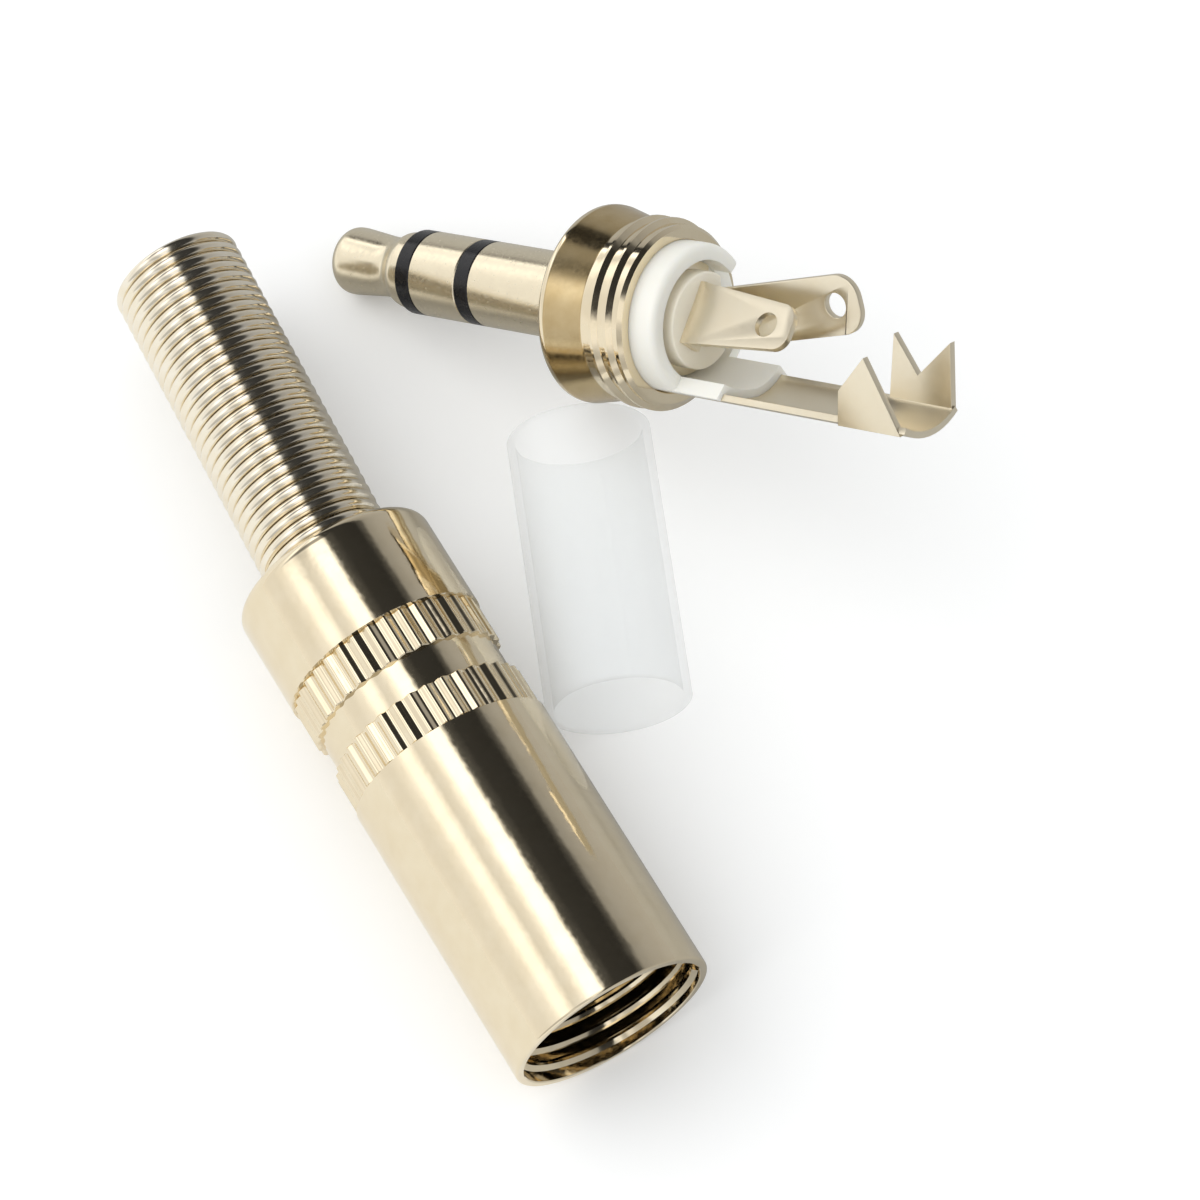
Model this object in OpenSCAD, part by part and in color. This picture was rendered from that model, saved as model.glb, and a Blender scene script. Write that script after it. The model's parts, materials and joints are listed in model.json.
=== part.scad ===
// Stereo jack plug, 3.5 mm, taken apart: barrel with strain relief spring,
// insulating tube and the contact core that leans on the tube.
// Units are millimetres. Every lot is drawn along its own Z axis and laid out last.

/* [Shank] */
// Diameter of the sleeve contact
shank_d = 3.5; // [3.4:0.05:3.6]
// Length from the nose to the flange
shank_len = 13.9; // [13.5:0.1:14.5]
// Length from the nose to the first black ring
tip_len = 4.15; // [4:0.05:4.5]
// Width of each black ring
black_ring_w = 0.75; // [0.6:0.05:0.9]
// Length of the ring contact
ring_len = 2.5; // [2.2:0.1:2.7]
// Largest diameter of the tip
nose_d = 2.8; // [2.7:0.05:3.1]
// Step from the black rings down to the shoulder of the tip
tip_step = 0.17; // [0.16:0.01:0.2]
// Diameter of the neck behind the tip
neck_d = 2.5; // [2.2:0.05:2.6]
// Rounding of the nose
nose_round = 0.55; // [0.4:0.05:0.7]
// Diameter of the rod that carries the tip
tip_rod_d = 1.0; // [0.9:0.05:1.1]
// Wall of each tube nested in the shank
layer_t = 0.28; // [0.24:0.01:0.3]

/* [Flange and collar] */
// Lip of the flange outside the thread, which the barrel closes on
flange_lip = 0.15; // [0.1:0.05:0.3]
// Thickness of the flange
flange_len = 2.0; // [1.6:0.1:2.4]
// Rounding of the flange edge
flange_round = 0.3; // [0.2:0.05:0.4]
// Outside diameter of the thread
thread_d = 7.7; // [7.6:0.05:7.75]
// Pitch of the thread
thread_pitch = 0.75; // [0.7:0.05:0.8]
// Height of the thread
thread_h = 0.22; // [0.18:0.01:0.22]
// Half turns of thread on the collar
thread_halves = 4; // [3:1:4]
// Length of the collar behind the flange
collar_len = 2.0; // [2:0.1:2.4]
// Diameter of the pocket in the collar
pocket_d = 6.1; // [5.9:0.05:6.3]
// Depth of the pocket in the collar
pocket_depth = 1.6; // [1.4:0.1:1.8]

/* [Rear insulator] */
// Thickness of the insulator disc
disc_t = 1.45; // [1.3:0.05:1.6]
// Height of the horseshoe wall above the disc
wall_h = 1.05; // [0.8:0.05:1.4]
// Thickness of the horseshoe wall
wall_t = 0.65; // [0.55:0.05:0.7]
// Half angle of the mouth of the horseshoe
wall_mouth_deg = 36; // [32:1:50]
// Height of the shield beside the ground strip, above the wall
shield_h = 2.6; // [2:0.1:3]
// Slant of the shield's end
shield_slant = 16; // [0:1:20]

/* [Solder lugs] */
// Sheet thickness of the lugs and of the ground strip
sheet_t = 0.3; // [0.25:0.01:0.32]
// Width of the tip lug at its foot
tip_lug_w = 2.6; // [2.3:0.1:2.7]
// Width of the tip lug at its end
tip_lug_end_w = 1.9; // [1.8:0.1:2.1]
// Height of the tip lug above its foot
tip_lug_len = 5.0; // [4.4:0.1:5.6]
// Distance of the tip lug from the axis
tip_lug_off = 1.0; // [0.95:0.05:1.1]
// Turn of the tip lug about the axis
tip_lug_turn = 143; // [135:1:150]
// Width of the ring lug
ring_lug_w = 2.4; // [2.2:0.1:2.5]
// Length of the ring lug above its foot
ring_lug_len = 8.2; // [7.4:0.1:9]
// Distance of the ring lug from the axis
ring_lug_off = 1.2; // [1.1:0.05:1.3]
// Sideways place of the ring lug on its foot
ring_lug_side = -0.5; // [-0.6:0.05:0]
// Sideways lean of the ring lug
ring_lug_lean = 13; // [0:1:14]
// Rounding of the ring lug's corners
ring_lug_round = 1.0; // [0.8:0.05:1.05]
// Distance of the hole from the end of the ring lug
ring_hole_back = 1.2; // [1.1:0.05:1.4]
// Clearance between the foot of the ring lug and the horseshoe wall
foot_gap = 0.1; // [0.05:0.05:0.2]
// Rounding of the tip lug's corners
tip_lug_round = 0.65; // [0.5:0.05:0.8]
// Distance of the hole from the end of the tip lug
tip_hole_back = 1.2; // [1.1:0.05:1.4]
// Diameter of the wire holes in both lugs
lug_hole_d = 1.0; // [0.8:0.05:1.1]
// Height of the plastic boss that carries the tip lug
boss_h = 0.85; // [0.7:0.05:1.1]
// Diameter of the boss
boss_d = 3.9; // [3.8:0.1:4.2]

/* [Ground strip and cable clamp] */
// Half angle that the curved strip covers
strip_half_deg = 34; // [30:1:36]
// Length of the strip from the collar to the clamp
strip_len = 9.1; // [8:0.1:10]
// Length of the clamp
clamp_len = 3.2; // [2.8:0.1:3.6]
// Height of the clamp teeth above the strip edge
tooth_h = 2.9; // [2.4:0.1:3.2]

/* [Barrel] */
// Wall of the barrel round the thread
barrel_wall = 0.35; // [0.3:0.05:0.6]
// Length of the smooth front part
barrel_front_len = 12.5; // [11:0.1:14]
// Width of each coin-edge band
band_w = 1.8; // [1.5:0.1:2.1]
// Step from the barrel down to the ridges of the bands
band_step = 0.075; // [0.06:0.005:0.1]
// Number of ridges round each band
band_ridges = 36; // [30:1:42]
// Depth of the notches between the ridges
notch_h = 0.16; // [0.1:0.01:0.18]
// Width of the plain groove between the bands
groove_w = 1.5; // [1.2:0.1:1.8]
// Depth of the plain groove
groove_depth = 0.32; // [0.28:0.01:0.36]
// Length of the smooth rear part
barrel_rear_len = 4.6; // [4.4:0.1:5.5]
// Rounding of the rear shoulder
barrel_round = 0.55; // [0.4:0.05:0.7]
// Step from the thread's outside radius in to the barrel bore
bore_step = 0.3; // [0.26:0.01:0.4]
// Half turns of thread in the barrel mouth
barrel_thread_halves = 5; // [4:1:6]
// Clearance between the two threads
thread_gap = 0.05; // [0.04:0.01:0.06]
// Depth of the spring seat
seat_depth = 3.6; // [3.2:0.1:4]

/* [Spring] */
// Outside diameter of the spring
spring_d = 5.5; // [5.3:0.05:5.6]
// Diameter of the spring wire
wire_d = 0.47; // [0.42:0.01:0.48]
// Rise of one turn
coil_pitch = 0.5; // [0.49:0.01:0.54]
// Number of turns
coil_turns = 36; // [30:1:38]
// Sideways lean of the spring in its seat
spring_lean = 3.2; // [0:0.1:3.5]
// Clearance between the spring and its seat
spring_gap = 0.02; // [0.01:0.01:0.05]

/* [Insulating tube] */
// Outside diameter of the tube
tube_d = 5.9; // [5.7:0.05:6.1]
// Wall of the tube
tube_wall = 0.35; // [0.3:0.01:0.45]
// Length of the tube
tube_len = 12; // [11:0.1:13]

/* [Layout] */
// Height of the flange centre above the table, with the nose on the table
flange_z = 8.04; // [7.9:0.02:8.2]
// Turn of the core about the upright
core_turn = -59; // [-61:0.5:-57]
// Roll of the core about its own axis
core_roll = 53.5; // [50:0.5:57]
// Clearance left where the core leans on the tube
lean_gap = 0.05; // [0.02:0.01:0.08]
// Gap between the barrel and the near end of the tube, seen from above
barrel_gap = 0.23; // [0.1:0.01:0.4]

/* [Hidden] */
$fn = 96;
eps = 0.01;
// Place of the flange centre, of the tube line and of the barrel's mouth on the table
core_xy = [4.83, 8.07];
tube_xy = [2.60, 6.40];
tube_turn = 22.5;
barrel_mouth_y = -17.2;
layout_mid = [-0.09, 1.35];

// Shank stations, measured back from the flange face at z = 0
z_nose = -shank_len;
z_ring_ins = z_nose + tip_len;
z_ring = z_ring_ins + black_ring_w;
z_sleeve_ins = z_ring + ring_len;
z_sleeve = z_sleeve_ins + black_ring_w;
r_rod = tip_rod_d / 2;
r_ring_in = r_rod + layer_t;
r_ring_out = r_ring_in + layer_t;
r_sleeve_in = r_ring_out + layer_t;
r_tip_shoulder = shank_d / 2 - tip_step;

// Stations of the stack behind the flange
z_collar = flange_len + collar_len;
z_pocket = z_collar - pocket_depth;
z_disc = z_pocket + sheet_t;
z_disc_top = z_disc + disc_t;
z_wall_top = z_disc_top + wall_h;
z_ring_rivet = z_disc_top + sheet_t;
rivet_h = 0.15;
rivet_lip = 0.13;
z_boss_top = z_ring_rivet + boss_h;
z_tip_rivet = z_boss_top + sheet_t;
r_pocket = pocket_d / 2;
r_strip_in = r_pocket - sheet_t;
r_wall_in = r_pocket - wall_t;
shield_half_deg = strip_half_deg + 4;
strip_gap = 0.03;
sill_h = 0.15;
z_clamp = z_collar + strip_len;

// Thread shared by the collar and the barrel
r_thread = thread_d / 2;
r_flange = r_thread + flange_lip;
r_thread_root = r_thread - thread_h;
r_nut_root = r_thread + thread_gap;
thread_lead = thread_h + 0.06;
nut_lead = thread_h + 0.2;

// Radii of the barrel, and its stations measured back from the mouth
r_barrel = r_nut_root + barrel_wall;
r_band = r_barrel - band_step;
r_groove = r_barrel - groove_depth;
r_bore = r_thread - bore_step;
z_band2 = barrel_front_len;
z_groove = z_band2 + band_w;
z_band1 = z_groove + groove_w;
z_rear = z_band1 + band_w;
barrel_len = z_rear + barrel_rear_len;
z_seat = barrel_len - seat_depth;
r_coil = (spring_d - wire_d) / 2;
seat_pivot = z_seat + 0.9;
r_seat = spring_d / 2 + (barrel_len - seat_pivot) * tan(spring_lean) + spring_gap;
seat_wall = 1.2;
z_bore_end = z_seat - seat_wall;
r_cable = r_coil - wire_d;
nut_len = nut_lead + barrel_thread_halves * thread_pitch / 2 + thread_h + 0.1;

// The nose touches the table, so its profile and the flange's height set the tilt
r_nose_flat = nose_d / 2 - nose_round;
nose_reach = shank_len - nose_round;
core_tilt = asin((flange_z - nose_round) / norm([r_nose_flat, nose_reach])) - atan2(r_nose_flat, nose_reach);

// Point on a circle of the core, in table coordinates
function core_point(r, z, a) =
    let (d = r * cos(a), s = r * sin(a))
    let (fwd = d * sin(core_tilt) + z * cos(core_tilt))
    [core_xy[0] + fwd * cos(core_turn) - s * sin(core_turn),
     core_xy[1] + fwd * sin(core_turn) + s * cos(core_turn),
     flange_z - d * cos(core_tilt) + z * sin(core_tilt)];
// The same point seen along the tube: across, along and up
function tube_point(p) =
    let (dx = p[0] - tube_xy[0], dy = p[1] - tube_xy[1])
    [dx * cos(tube_turn) - dy * sin(tube_turn),
     dx * sin(tube_turn) + dy * cos(tube_turn),
     p[2] - tube_d / 2];
// Circles of the core that can meet the tube, as radius and station
lean_circles = [[r_flange - flange_round, 0], [r_flange - flange_round * 0.29, flange_round * 0.29],
                [r_flange, flange_round], [r_flange, flange_len], [r_thread, z_collar]];
lean_hits = [for (c = lean_circles) for (a = [0:0.5:359.5])
    let (q = tube_point(core_point(c[0], c[1], a)))
    if (norm([q[0], q[2]]) < tube_d / 2) q[1]];
// The tube slides up to the first of those points
tube_far = min(concat(lean_hits, [1.5])) - lean_gap;
// The barrel lies beside the tube's near corner
tube_corner_x = tube_xy[0] + (tube_far - tube_len) * sin(tube_turn) - tube_d / 2 * cos(tube_turn);
barrel_edge_x = tube_corner_x - barrel_gap;

nickel = [0.80, 0.76, 0.66];
black = [0.08, 0.08, 0.09];
white = [0.94, 0.94, 0.90];
cream = [0.90, 0.87, 0.76];

// Tube between two radii from z0 to z1
module ring_solid(r_out, r_in, z0, z1) {
    rotate_extrude()
        polygon([[r_in, z0], [r_out, z0], [r_out, z1], [r_in, z1]]);
}

// Sector of a tube, centred on the +X direction
module sector_solid(r_out, r_in, z0, z1, half_deg) {
    rotate([0, 0, -half_deg])
        rotate_extrude(angle = 2 * half_deg)
            polygon([[r_in, z0], [r_out, z0], [r_out, z1], [r_in, z1]]);
}

// One half turn that rises by half a pitch; two tilted halves make a turn of helix
module half_turn(i, pitch, r) {
    tilt = asin(pitch / 4 / r);
    translate([0, 0, (i + 0.5) * pitch / 2])
        rotate([0, i % 2 == 0 ? tilt : -tilt, 0])
            rotate([0, 0, i % 2 == 0 ? 0 : 180])
                rotate_extrude(angle = 180)
                    children();
}

// Rounded thread ridge that stands on a radius, to both sides of it
module thread_ridge(halves, r_base) {
    for (i = [0:halves - 1])
        half_turn(i, thread_pitch, r_base)
            translate([r_base, 0])
                circle(r = thread_h, $fn = 32);
}

module lay_core() {
    translate([core_xy[0] - layout_mid[0], core_xy[1] - layout_mid[1], flange_z])
        rotate([0, 90 - core_tilt, core_turn])
            rotate([0, 0, core_roll])
                children();
}

module lay_tube() {
    translate([tube_xy[0] - layout_mid[0], tube_xy[1] - layout_mid[1], tube_d / 2])
        rotate([0, 0, -tube_turn])
            translate([0, tube_far, 0])
                rotate([90, 0, 0])
                    children();
}

module lay_barrel() {
    translate([barrel_edge_x - r_barrel - layout_mid[0], barrel_mouth_y - layout_mid[1], r_barrel])
        rotate([-90, 0, 0])
            children();
}

// Coin-edge band: straight ridges with flat crests
module coin_band(z0) {
    step = 360 / band_ridges;
    translate([0, 0, z0])
        linear_extrude(band_w)
            difference() {
                polygon([for (i = [0:band_ridges - 1]) for (k = [[0, 0], [0.5, 0], [0.66, 1], [0.84, 1]])
                    let (a = (i + k[0]) * step, q = r_band - k[1] * notch_h)
                    [q * cos(a), q * sin(a)]]);
                circle(r = r_bore + eps);
            }
}

module barrel() {
    r = r_barrel;
    color(nickel) lay_barrel() {
        difference() {
            union() {
                rotate_extrude()
                    polygon([[r_bore, 0], [r - 0.2, 0], [r - 0.06, 0.06], [r, 0.2], [r, z_band2],
                             [r_groove, z_band2], [r_groove, z_rear], [r_bore, z_rear]]);
                coin_band(z_band2);
                coin_band(z_band1);
                rotate_extrude()
                    difference() {
                        union() {
                            translate([r_cable, z_bore_end])
                                square([r_bore - r_cable + eps, z_rear - z_bore_end]);
                            translate([r_cable, z_rear])
                                square([r - r_cable, barrel_rear_len - barrel_round]);
                            translate([r_cable, z_rear])
                                square([r - barrel_round - r_cable, barrel_rear_len]);
                            translate([r - barrel_round, barrel_len - barrel_round])
                                circle(r = barrel_round);
                        }
                        translate([0, z_seat])
                            square([r_seat, seat_depth + 1]);
                    }
            }
            // room for the thread behind a short lead-in at the mouth
            translate([0, 0, -1])
                cylinder(r = r_nut_root, h = nut_len + 1);
        }
        translate([0, 0, nut_lead])
            thread_ridge(barrel_thread_halves, r_nut_root);
    }
}

module strain_relief_spring() {
    start = wire_d / 2 + r_coil * sin(spring_lean) + spring_gap;
    color(nickel) lay_barrel()
        translate([0, 0, seat_pivot])
            rotate([0, spring_lean, 0])
                translate([0, 0, z_seat - seat_pivot + start])
                    for (i = [0:2 * coil_turns - 1])
                        half_turn(i, coil_pitch, r_coil)
                            translate([r_coil, 0])
                                circle(d = wire_d, $fn = 24);
}

module insulating_tube() {
    color(white) lay_tube()
        ring_solid(tube_d / 2, tube_d / 2 - tube_wall, 0, tube_len);
}

module sleeve_body() {
    r = r_flange;
    root = r_thread_root;
    color(nickel) lay_core() {
        difference() {
            rotate_extrude() {
                polygon([[r_sleeve_in, z_sleeve], [shank_d / 2, z_sleeve], [shank_d / 2, 0],
                         [r - flange_round, 0], [r - flange_round, flange_len], [root, flange_len],
                         [root, z_collar - 0.15], [root - 0.15, z_collar], [r_sleeve_in, z_collar]]);
                translate([r - flange_round - 0.1, flange_round])
                    square([flange_round + 0.1, flange_len - flange_round]);
                translate([r - flange_round, flange_round])
                    circle(r = flange_round);
            }
            translate([0, 0, z_pocket])
                cylinder(r = r_pocket, h = pocket_depth + 1);
        }
        translate([0, 0, flange_len + thread_lead])
            thread_ridge(thread_halves, root);
    }
}

module sleeve_insulator() {
    color(black) lay_core() {
        ring_solid(shank_d / 2, r_ring_out, z_sleeve_ins, z_sleeve);
        ring_solid(r_sleeve_in, r_ring_out, z_sleeve - eps, z_disc);
    }
}

module ring_contact() {
    color(nickel) lay_core() {
        ring_solid(shank_d / 2, r_ring_in, z_ring, z_sleeve_ins);
        ring_solid(r_ring_out, r_ring_in, z_sleeve_ins - eps, z_ring_rivet + rivet_h);
        ring_solid(r_ring_out + rivet_lip, r_ring_in, z_ring_rivet, z_ring_rivet + rivet_h);
    }
}

module ring_insulator() {
    color(black) lay_core() {
        ring_solid(shank_d / 2, r_rod, z_ring_ins, z_ring);
        ring_solid(r_ring_in, r_rod, z_ring - eps, z_ring_rivet + rivet_h);
    }
}

module tip_contact() {
    r = nose_d / 2;
    neck = neck_d / 2;
    color(nickel) lay_core()
        rotate_extrude() {
            polygon([[0, z_nose], [r - nose_round, z_nose], [r - nose_round, z_nose + nose_round],
                     [r, z_nose + nose_round], [r, z_nose + nose_round + 0.2],
                     [neck, z_nose + 2.45], [neck, z_nose + 2.8],
                     [r_tip_shoulder, z_ring_ins - 0.45], [r_tip_shoulder, z_ring_ins],
                     [r_rod, z_ring_ins], [r_rod, z_tip_rivet], [r_rod + rivet_lip, z_tip_rivet],
                     [r_rod + rivet_lip / 2, z_tip_rivet + rivet_h], [0, z_tip_rivet + rivet_h]]);
            translate([r - nose_round, z_nose + nose_round])
                circle(r = nose_round);
        }
}

// Flat tab standing on its foot: w wide at the foot, end_w at the end, whose corners are round
module tab(w, end_w, len, corner, hole_back) {
    side = end_w / 2 - corner;
    rotate([90, 0, 90])
        linear_extrude(sheet_t)
            difference() {
                union() {
                    polygon([[-w / 2, 0], [w / 2, 0], [end_w / 2, len - corner], [side, len],
                             [-side, len], [-end_w / 2, len - corner]]);
                    for (y = [-side, side])
                        translate([y, len - corner])
                            circle(r = corner);
                }
                translate([0, len - hole_back])
                    circle(d = lug_hole_d);
            }
}

module tip_lug() {
    color(nickel) lay_core()
        rotate([0, 0, tip_lug_turn]) {
            difference() {
                translate([0, 0, z_boss_top])
                    union() {
                        cylinder(r = tip_lug_off, h = sheet_t);
                        translate([0, -tip_lug_w / 2, 0])
                            cube([tip_lug_off, tip_lug_w, sheet_t]);
                    }
                translate([0, 0, z_boss_top - 1])
                    cylinder(r = r_rod, h = 3);
            }
            translate([tip_lug_off - sheet_t, 0, z_boss_top])
                tab(tip_lug_w, tip_lug_end_w, tip_lug_len, tip_lug_round, tip_hole_back);
        }
}

module ring_lug() {
    color(nickel) lay_core() {
        // foot: a washer under the boss, cut off where the lug turns up
        difference() {
            translate([0, 0, z_disc_top])
                cylinder(r = r_wall_in - foot_gap, h = sheet_t);
            translate([0, 0, z_disc_top - 1])
                cylinder(r = r_ring_out, h = 3);
            translate([ring_lug_off + sheet_t, -5, z_disc_top - 1])
                cube([5, 10, 3]);
        }
        difference() {
            translate([ring_lug_off, ring_lug_side, z_disc_top])
                rotate([-ring_lug_lean, 0, 0])
                    translate([0, 0, -0.4])
                        tab(ring_lug_w, ring_lug_w, ring_lug_len + 0.4, ring_lug_round, ring_hole_back);
            translate([-5, -5, z_disc_top - 2])
                cube([10, 10, 2 + sheet_t / 2]);
        }
    }
}

module lug_boss() {
    color(cream) lay_core()
        difference() {
            translate([0, 0, z_ring_rivet])
                cylinder(d = boss_d, h = boss_h);
            translate([0, 0, z_ring_rivet - 1])
                cylinder(r = r_rod, h = boss_h + 2);
            translate([0, 0, z_ring_rivet - 1])
                cylinder(r = r_ring_out + rivet_lip, h = 1 + rivet_h);
            translate([ring_lug_off, -5, z_ring_rivet - 1])
                cube([5, 10, boss_h + 2]);
        }
}

module rear_insulator() {
    z_top = z_wall_top + shield_h;
    far = r_pocket + 1;
    color(white) lay_core()
        difference() {
            translate([0, 0, z_disc])
                cylinder(r = r_pocket, h = z_top - z_disc);
            translate([0, 0, z_disc - 1])
                cylinder(r = r_ring_out, h = z_top);
            translate([0, 0, z_disc_top])
                cylinder(r = r_wall_in, h = z_top);
            // mouth of the horseshoe, with a low sill
            sector_solid(far, 0.5, z_disc_top + sill_h, z_top + 1, wall_mouth_deg);
            // the shield's end slants up to the ring lug
            translate([0, 0, z_top])
                rotate([0, -shield_slant, 0])
                    translate([-9 + r_wall_in, -9, 0])
                        cube([9, 18, 9]);
            // only the shield stands above the wall
            rotate([0, 0, 90])
                sector_solid(far, 0.5, z_wall_top, z_top + 1, 180 - shield_half_deg);
            // channel for the ground strip
            rotate([0, 0, -90])
                sector_solid(far, r_strip_in, z_disc - 1, z_top + 1, strip_half_deg);
        }
}

// Side wings of the clamp: outlines in station and height
module wing(points) {
    rotate([90, 0, 90])
        linear_extrude(sheet_t)
            polygon(points);
}

module ground_clamp() {
    edge_x = r_pocket * sin(strip_half_deg);
    edge_y = -r_pocket * cos(strip_half_deg);
    low = edge_y - 0.1;
    color(nickel) lay_core() {
        ring_solid(r_pocket, r_sleeve_in, z_pocket, z_disc);
        rotate([0, 0, -90])
            sector_solid(r_pocket - strip_gap, r_strip_in, z_pocket + 0.1, z_clamp + clamp_len,
                         strip_half_deg);
        // near wing: one tooth
        translate([-edge_x, 0, 0])
            wing([[low, z_clamp], [low + 1.4, z_clamp + 0.1], [low + tooth_h, z_clamp + 1.4],
                  [low, z_clamp + clamp_len - 0.2]]);
        // far wing: two teeth with a notch between them
        translate([edge_x - sheet_t, 0, 0])
            wing([[low, z_clamp + 0.1], [low + tooth_h, z_clamp + 0.5], [low + 1.35, z_clamp + 1.55],
                  [low + tooth_h, z_clamp + clamp_len], [low, z_clamp + clamp_len - 0.1]]);
    }
}

barrel();
strain_relief_spring();
insulating_tube();
sleeve_body();
sleeve_insulator();
ring_contact();
ring_insulator();
tip_contact();
ground_clamp();
rear_insulator();
ring_lug();
lug_boss();
tip_lug();
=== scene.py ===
"""Stereo jack plug, taken apart: barrel with spring, insulating tube and contact core."""
import json
from math import atan2, cos, hypot, pi, radians, sin
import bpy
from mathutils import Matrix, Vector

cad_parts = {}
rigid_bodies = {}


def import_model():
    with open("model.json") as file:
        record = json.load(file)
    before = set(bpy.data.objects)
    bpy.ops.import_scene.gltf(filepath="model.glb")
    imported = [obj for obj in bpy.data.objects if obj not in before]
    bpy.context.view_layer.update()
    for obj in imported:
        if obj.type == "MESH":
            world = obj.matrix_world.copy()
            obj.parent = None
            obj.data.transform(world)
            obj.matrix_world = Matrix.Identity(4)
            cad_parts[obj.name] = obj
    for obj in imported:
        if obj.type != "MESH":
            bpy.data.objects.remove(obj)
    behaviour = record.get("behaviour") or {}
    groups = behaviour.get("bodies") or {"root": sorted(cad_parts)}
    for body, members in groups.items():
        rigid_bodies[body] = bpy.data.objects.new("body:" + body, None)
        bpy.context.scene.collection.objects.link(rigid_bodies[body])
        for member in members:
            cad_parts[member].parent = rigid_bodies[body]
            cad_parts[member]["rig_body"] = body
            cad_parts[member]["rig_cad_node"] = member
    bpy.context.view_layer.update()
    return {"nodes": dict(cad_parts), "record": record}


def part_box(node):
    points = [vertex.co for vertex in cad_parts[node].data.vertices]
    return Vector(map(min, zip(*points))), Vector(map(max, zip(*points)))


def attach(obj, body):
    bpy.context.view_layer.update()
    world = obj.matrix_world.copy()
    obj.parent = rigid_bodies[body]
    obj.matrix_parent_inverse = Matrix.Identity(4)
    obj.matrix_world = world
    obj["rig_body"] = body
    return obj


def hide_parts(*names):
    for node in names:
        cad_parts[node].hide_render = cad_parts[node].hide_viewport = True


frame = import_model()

from types import SimpleNamespace

import bmesh
import bpy
from bpy.props import FloatProperty, IntProperty, PointerProperty, StringProperty
from mathutils import Matrix, Vector

bl_info = {
    "name": "Stereo jack plug, taken apart",
    "version": (1, 0, 0),
    "blender": (4, 5, 0),
    "location": "View3D > Sidebar > Jack plug",
    "description": "Models and finishes the pieces of a 3.5 mm stereo jack plug",
    "category": "Add Mesh",
}

MM = 0.001
MOUNTS = {mount["name"]: mount for mount in frame["record"]["mounts"]}
BARREL_LOW, BARREL_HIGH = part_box("barrel")
TUBE_LOW, TUBE_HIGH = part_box("insulating_tube")

# Fineness of the meshes: sides of round pieces, and steps in one turn, ridge or curve
NOTCH_STEPS = 10
THREAD_STEPS = 72
WIRE_SIDES = 16
WIRE_STEPS = 56
TUBE_SIDES = 128
SHANK_SIDES = 96
COLLAR_SIDES = 160
NOSE_STEPS = 12
FLARE_STEPS = 8
FLANGE_STEPS = 10
EDGE_STEPS = 3
RIM_STEPS = 5

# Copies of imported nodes: what counts as one point, as one flat face and as a sharp edge
MERGE_GAP = 0.0005 * MM
FLAT_ANGLE = radians(1)
SHARP_ANGLE = radians(35)

# Section of a thread, as shares of its height: depth of its foot under the surface, half widths of
# its foot and of its crest, and height of the crest in the mouth and on the collar
THREAD_SINK = 0.1
THREAD_FOOT = 1.1
THREAD_FLAT = 0.25
NUT_CREST = 0.8
COLLAR_CREST = 0.95

# Share of the nose's taper that is left where it runs into the neck
NECK_BLEND = 0.1

# Rings along the flange's taper, as shares: those next to its ends keep its shading straight
TAPER_RINGS = (0, 0.04, 0.5, 0.96, 1)


def size(name, text, mm):
    """A length that a user may change, given in millimetres."""
    return FloatProperty(name=name, description=text, default=mm * MM, unit="LENGTH", precision=6)


def shade(name, text, code):
    """A colour that a user may change, as an sRGB hex value."""
    return StringProperty(name=name, description=text, default=code)


class BarrelSizes(bpy.types.PropertyGroup):
    """Sizes of the barrel and of the spring in its rear."""

    front: size("Front", "Length of the smooth front part", 12.5)
    band: size("Band", "Width of each coin-edge band", 1.8)
    groove: size("Groove", "Width of the plain groove", 1.5)
    band_step: size("Band step", "Step from the barrel down to the ridges", 0.075)
    groove_depth: size("Groove depth", "Depth of the plain groove", 0.32)
    notch: size("Notch", "Depth of the notches between the ridges", 0.16)
    ridges: IntProperty(name="Ridges", description="Ridges round each band", default=36, min=12)
    round: size("Rounding", "Rounding of the rear shoulder", 0.55)
    lip: size("Lip", "Rounding of the mouth's edge", 0.12)
    nut_depth: size("Nut depth", "Depth of the threaded mouth", 2.615)
    nut_wall: size("Nut wall", "Wall round the threaded mouth", 0.35)
    nut_lead: size("Nut lead", "Plain lead-in before the thread", 0.42)
    nut_turns: FloatProperty(name="Nut turns", description="Turns of thread in the mouth", default=2.5)
    seat_depth: size("Seat depth", "Depth of the spring seat", 3.6)
    web: size("Web", "Thickness of the wall in front of the seat", 1.2)
    seat_r: size("Seat radius", "Radius of the spring seat", 2.921)
    coil_r: size("Coil radius", "Radius of the spring at the middle of its wire", 2.515)
    wire_r: size("Wire radius", "Radius of the spring wire", 0.235)
    pitch: size("Coil pitch", "Rise of one turn of the spring", 0.5)
    turns: IntProperty(name="Turns", description="Turns of the spring", default=36, min=1)
    lean: FloatProperty(name="Lean", description="Sideways lean of the spring", default=radians(3.2),
                        subtype="ANGLE")
    pivot: size("Pivot", "Height over the floor of the seat about which the spring leans", 0.9)


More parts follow.
